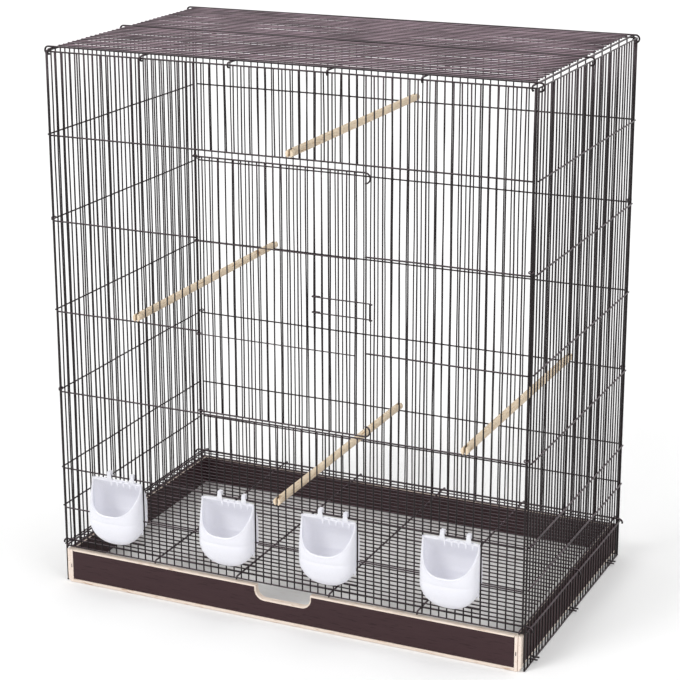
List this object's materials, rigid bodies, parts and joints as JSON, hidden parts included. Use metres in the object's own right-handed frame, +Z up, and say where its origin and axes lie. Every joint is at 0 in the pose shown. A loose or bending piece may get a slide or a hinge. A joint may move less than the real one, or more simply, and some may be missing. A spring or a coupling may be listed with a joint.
{
  "type": "canary breeding cage",
  "caption": "Tall wire breeding cage for canaries, with a hinged front door and sliding latch, hanging seed cups, wooden perches and a pull-out wooden tray under a wire floor.",
  "frame": {"origin": "middle of the whole cage's footprint, on the ground that its side and back walls stand on", "axes": "+Z up, the front with door, cups and tray faces -Y, +X to the right when looking at the front"},
  "size_m": [0.8048, 0.5126, 0.8765],
  "materials": {
    "wire_paint": "glossy dark brown enamel on steel wire",
    "laminate": "satin dark brown laminate on board",
    "raw_wood": "raw sanded edge",
    "base_board": "smooth white-faced hardboard",
    "cup_plastic": "white translucent moulded plastic",
    "dowel_wood": "plain turned dowel, unvarnished"
  },
  "bodies": {
    "cage": {"front_wall_left": "wire_paint", "front_wall_right": "wire_paint", "front_wall_over_door": "wire_paint", "front_wall_under_door": "wire_paint", "front_wall_post_1": "wire_paint", "front_wall_post_2": "wire_paint", "front_wall_post_3": "wire_paint", "front_wall_post_4": "wire_paint", "front_wall_post_5": "wire_paint", "front_wall_sill_1": "wire_paint", "front_wall_sill_2": "wire_paint", "front_wall_sill_3": "wire_paint", "front_wall_sill_4": "wire_paint", "back_wall": "wire_paint", "left_wall": "wire_paint", "right_wall": "wire_paint", "roof_grille": "wire_paint", "floor_grille": "wire_paint", "runner_front": "wire_paint", "runner_middle": "wire_paint", "runner_rear": "wire_paint"},
    "door": {"front_door": "wire_paint"},
    "latch": {"door_latch": "wire_paint"},
    "tray": {"tray_front_board": "laminate", "tray_front_edging": "raw_wood", "tray_batten_left": "raw_wood", "tray_batten_right": "raw_wood", "tray_side_left": "laminate", "tray_side_right": "laminate", "tray_rear_board": "laminate", "tray_base_board": "base_board"},
    "feeder_1": {"feeder_cup_1": "cup_plastic"},
    "feeder_2": {"feeder_cup_2": "cup_plastic"},
    "feeder_3": {"feeder_cup_3": "cup_plastic"},
    "feeder_4": {"feeder_cup_4": "cup_plastic"},
    "perch_a": {"perch_top": "dowel_wood"},
    "perch_b": {"perch_left": "dowel_wood"},
    "perch_c": {"perch_right": "dowel_wood"},
    "perch_d": {"perch_low": "dowel_wood"}
  },
  "joints": [
    {"name": "door_swing", "type": "hinge", "parent": "cage", "child": "door", "pos_m": [-0.13846, -0.22129, 0.53], "axis": [0, 0, -1], "range_deg": [0, 150]},
    {"name": "latch_slide", "type": "slide", "parent": "door", "child": "latch", "axis": [-1, 0, 0], "range_m": [0, 0.005]},
    {"name": "tray_slide", "type": "slide", "parent": "cage", "child": "tray", "axis": [0, -1, 0], "range_m": [0, 0.42]},
    {"name": "feeder_1_tilt", "type": "hinge", "parent": "cage", "child": "feeder_1", "pos_m": [-0.2901, -0.22129, 0.196], "axis": [-1, 0, 0], "range_deg": [0, 35]},
    {"name": "feeder_2_tilt", "type": "hinge", "parent": "cage", "child": "feeder_2", "pos_m": [-0.0923, -0.22129, 0.196], "axis": [-1, 0, 0], "range_deg": [0, 35]},
    {"name": "feeder_3_tilt", "type": "hinge", "parent": "cage", "child": "feeder_3", "pos_m": [0.0791, -0.22129, 0.196], "axis": [-1, 0, 0], "range_deg": [0, 35]},
    {"name": "feeder_4_tilt", "type": "hinge", "parent": "cage", "child": "feeder_4", "pos_m": [0.2769, -0.22129, 0.196], "axis": [-1, 0, 0], "range_deg": [0, 35]},
    {"name": "perch_top_lift", "type": "slide", "parent": "cage", "child": "perch_a", "axis": [0, 0, 1], "range_m": [0, 0.015]},
    {"name": "perch_left_lift", "type": "slide", "parent": "cage", "child": "perch_b", "axis": [0, 0, 1], "range_m": [0, 0.015]},
    {"name": "perch_right_lift", "type": "slide", "parent": "cage", "child": "perch_c", "axis": [0, 0, 1], "range_m": [0, 0.015]},
    {"name": "perch_low_lift", "type": "slide", "parent": "cage", "child": "perch_d", "axis": [0, 0, 1], "range_m": [0, 0.015]}
  ]
}
